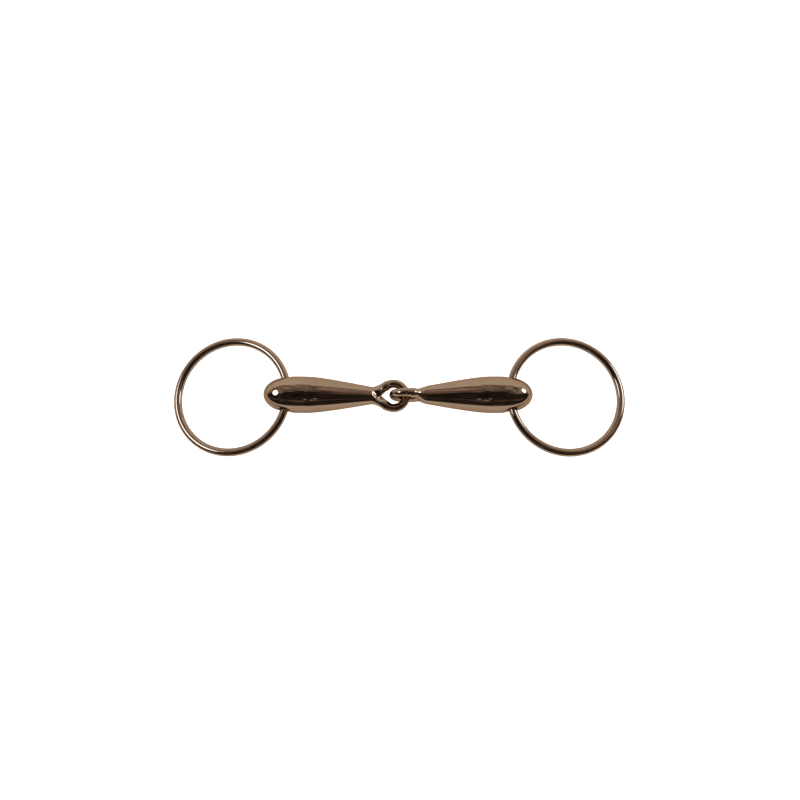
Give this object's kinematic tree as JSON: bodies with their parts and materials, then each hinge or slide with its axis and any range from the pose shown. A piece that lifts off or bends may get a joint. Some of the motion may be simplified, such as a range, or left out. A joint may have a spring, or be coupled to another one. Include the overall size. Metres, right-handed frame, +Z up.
{
  "type": "snaffle bit",
  "caption": "Loose-ring horse bit with a jointed hollow mouthpiece: fat tapered cannons link at a centre joint and a round ring runs through each outer end.",
  "frame": {"origin": "bottom centre of the bit as it lies flat, on the surface it lies on", "axes": "+X along the mouthpiece from left to right, +Y away from the viewer, +Z up"},
  "size_m": [0.2614, 0.07, 0.0213],
  "materials": {
    "mouth_steel": "mirror polished, warm bronze tone",
    "eye_steel": "mirror polished, warm bronze tone",
    "ring_steel": "mirror polished, warm bronze tone",
    "tube_steel": "drawn, unpolished inside"
  },
  "bodies": {
    "left_cannon": {"left_shell_front": "mouth_steel", "left_shell_back": "mouth_steel", "left_centre_eye": "eye_steel"},
    "right_cannon": {"right_shell_front": "mouth_steel", "right_shell_back": "mouth_steel", "right_centre_eye": "eye_steel"},
    "left_ring_seat": {"left_ring_tube": "tube_steel"},
    "left_loose_ring": {"left_ring": "ring_steel"},
    "right_ring_seat": {"right_ring_tube": "tube_steel"},
    "right_loose_ring": {"right_ring": "ring_steel"}
  },
  "joints": [
    {"name": "mouth_fold", "type": "hinge", "parent": "left_cannon", "child": "right_cannon", "pos_m": [0.00422, 0, 0.00745], "axis": [0, 1, 0], "range_deg": [-122, 145]},
    {"name": "left_ring_swing", "type": "hinge", "parent": "left_cannon", "child": "left_ring_seat", "pos_m": [-0.06473, 0, 0.01115], "axis": [0, 1, 0], "range_deg": [-152.1, 167.9]},
    {"name": "left_ring_spin", "type": "hinge", "parent": "left_ring_seat", "child": "left_loose_ring", "pos_m": [-0.09603, 0, 0.0068], "axis": [-0.1376, 0, 0.9905], "continuous": true},
    {"name": "right_ring_swing", "type": "hinge", "parent": "right_cannon", "child": "right_ring_seat", "pos_m": [0.06396, 0, 0.01071], "axis": [0, -1, 0], "range_deg": [-152.6, 167.4]},
    {"name": "right_ring_spin", "type": "hinge", "parent": "right_ring_seat", "child": "right_loose_ring", "pos_m": [0.09599, 0, 0.00653], "axis": [0.1293, 0, 0.9916], "continuous": true}
  ]
}
